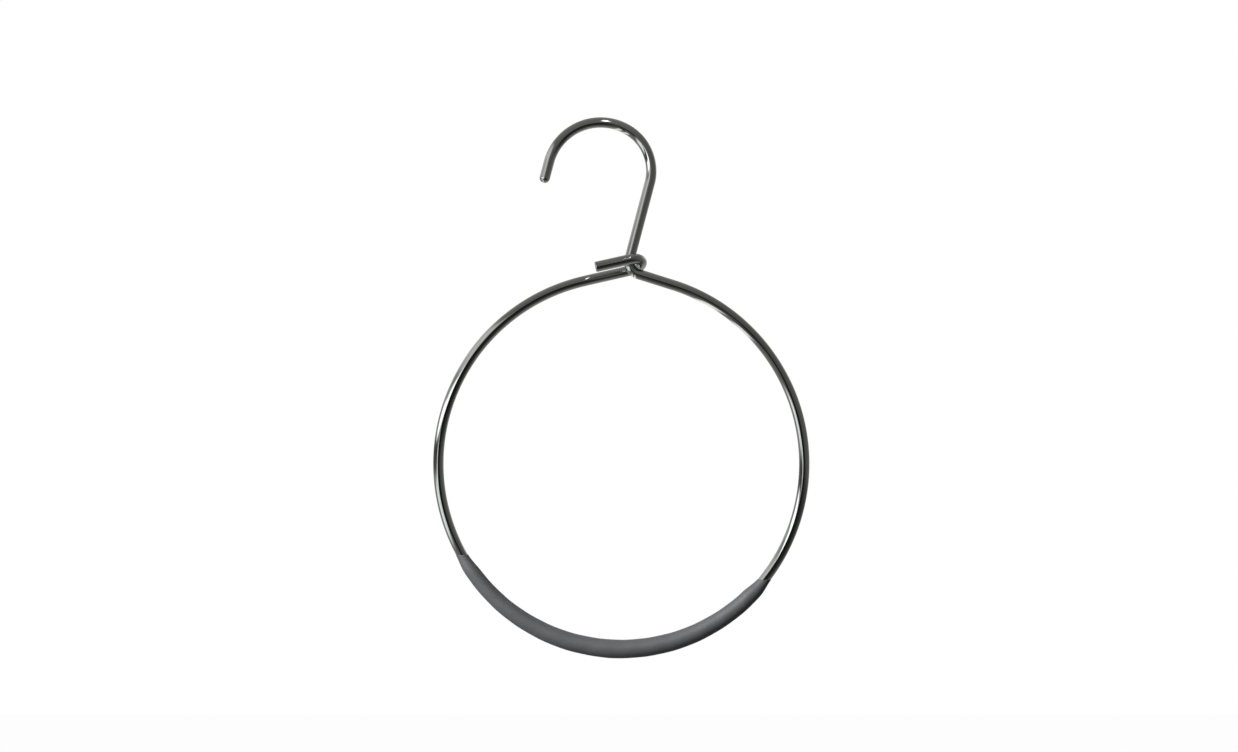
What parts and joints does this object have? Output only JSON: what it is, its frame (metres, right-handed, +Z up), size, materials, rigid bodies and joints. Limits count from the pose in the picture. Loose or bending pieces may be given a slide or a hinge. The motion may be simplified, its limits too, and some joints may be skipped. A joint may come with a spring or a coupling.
{
  "type": "scarf hanger",
  "caption": "Chromed wire scarf hanger: an open hook on a leaning shank above a closed ring, with a soft non-slip coat on the ring's lower part.",
  "frame": {"origin": "where a rail bears, inside the crown of the hook", "axes": "+Z up, from the ring to the hook; +X to the right as one faces the hanger, with the hook open to the left; +Y away from the viewer"},
  "size_m": [0.143, 0.0143, 0.2057],
  "materials": {
    "chromed_steel": "bright chrome plate over drawn steel wire",
    "soft_coat": "matte dipped soft vinyl, mid grey"
  },
  "bodies": {
    "root": {"bent_wire": "chromed_steel", "non_slip_coat": "soft_coat"}
  },
  "joints": []
}
